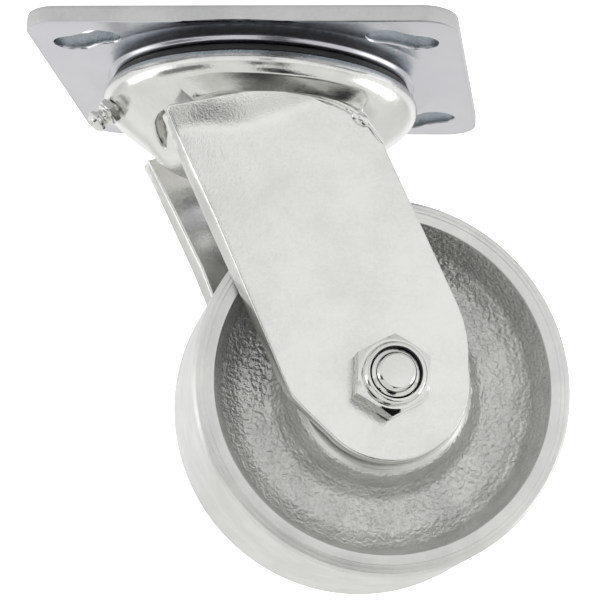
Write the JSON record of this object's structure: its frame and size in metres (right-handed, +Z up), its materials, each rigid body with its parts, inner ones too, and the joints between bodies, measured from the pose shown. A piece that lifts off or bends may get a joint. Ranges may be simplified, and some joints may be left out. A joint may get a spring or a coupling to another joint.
{
  "type": "swivel plate caster",
  "caption": "Heavy swivel plate caster: slotted top plate, ball-raced swivel head, welded steel yoke and a bare cast-iron wheel on a bolted axle, for a gate or cart.",
  "frame": {"origin": "centre of the top plate's mounting face, on the swivel axis", "axes": "+Z up along the swivel axis, out of the mounting face; X along the plate's long side, Y along its short side; the wheel hangs below, turned 16 degrees about +Z at rest"},
  "size_m": [0.144, 0.1016, 0.1429],
  "materials": {
    "plated_plate": "bright zinc plate over pressed steel, faint blue cast",
    "plated_yoke": "bright zinc plate over pressed and welded steel, slight orange peel",
    "plated_fastener": "bright zinc plate over machined steel",
    "cast_wheel": "cast grey iron with a silver coat, turned tread and rim faces",
    "bearing_steel": "hardened and polished bearing steel",
    "plain_steel": "plain steel, lightly oiled",
    "seal_rubber": "black greased rubber",
    "insert_nylon": "dark nylon"
  },
  "bodies": {
    "root": {"top_plate": "plated_plate", "king_pin": "plain_steel", "lower_race_cup": "plated_plate", "king_pin_nut": "plated_fastener", "dust_seal": "seal_rubber"},
    "yoke": {"yoke_base": "plated_yoke", "yoke_leg_near": "plated_yoke", "yoke_leg_far": "plated_yoke", "grease_fitting": "plated_fastener", "axle_bolt": "plated_fastener", "axle_lock_nut": "plated_fastener", "lock_nut_insert": "insert_nylon", "spanner_bushing": "bearing_steel", "thrust_washer_near": "plain_steel", "thrust_washer_far": "plain_steel"},
    "wheel": {"wheel": "cast_wheel"},
    "roller_cage": {"roller_cage": "plain_steel", "roller_1": "bearing_steel", "roller_2": "bearing_steel", "roller_3": "bearing_steel", "roller_4": "bearing_steel", "roller_5": "bearing_steel", "roller_6": "bearing_steel", "roller_7": "bearing_steel", "roller_8": "bearing_steel"},
    "upper_balls": {"upper_ball_row": "bearing_steel"},
    "lower_balls": {"lower_ball_row": "bearing_steel"}
  },
  "joints": [
    {"name": "swivel", "type": "hinge", "parent": "root", "child": "yoke", "pos_m": [0, 0, 0], "axis": [0, 0, 1], "continuous": true},
    {"name": "wheel_spin", "type": "hinge", "parent": "yoke", "child": "wheel", "pos_m": [0.03201, 0.00918, -0.09208], "axis": [-0.2756, 0.9613, 0], "continuous": true},
    {"name": "roller_cage_orbit", "type": "hinge", "parent": "yoke", "child": "roller_cage", "pos_m": [0.03201, 0.00918, -0.09208], "axis": [-0.2756, 0.9613, 0], "continuous": true},
    {"name": "upper_ball_orbit", "type": "hinge", "parent": "root", "child": "upper_balls", "pos_m": [0, 0, 0], "axis": [0, 0, 1], "continuous": true},
    {"name": "lower_ball_orbit", "type": "hinge", "parent": "root", "child": "lower_balls", "pos_m": [0, 0, 0], "axis": [0, 0, 1], "continuous": true}
  ],
  "couplings": [
    {"joint": "roller_cage_orbit", "follows": "wheel_spin", "ratio": 0.6116},
    {"joint": "upper_ball_orbit", "follows": "swivel", "ratio": 0.5},
    {"joint": "lower_ball_orbit", "follows": "swivel", "ratio": 0.5}
  ]
}
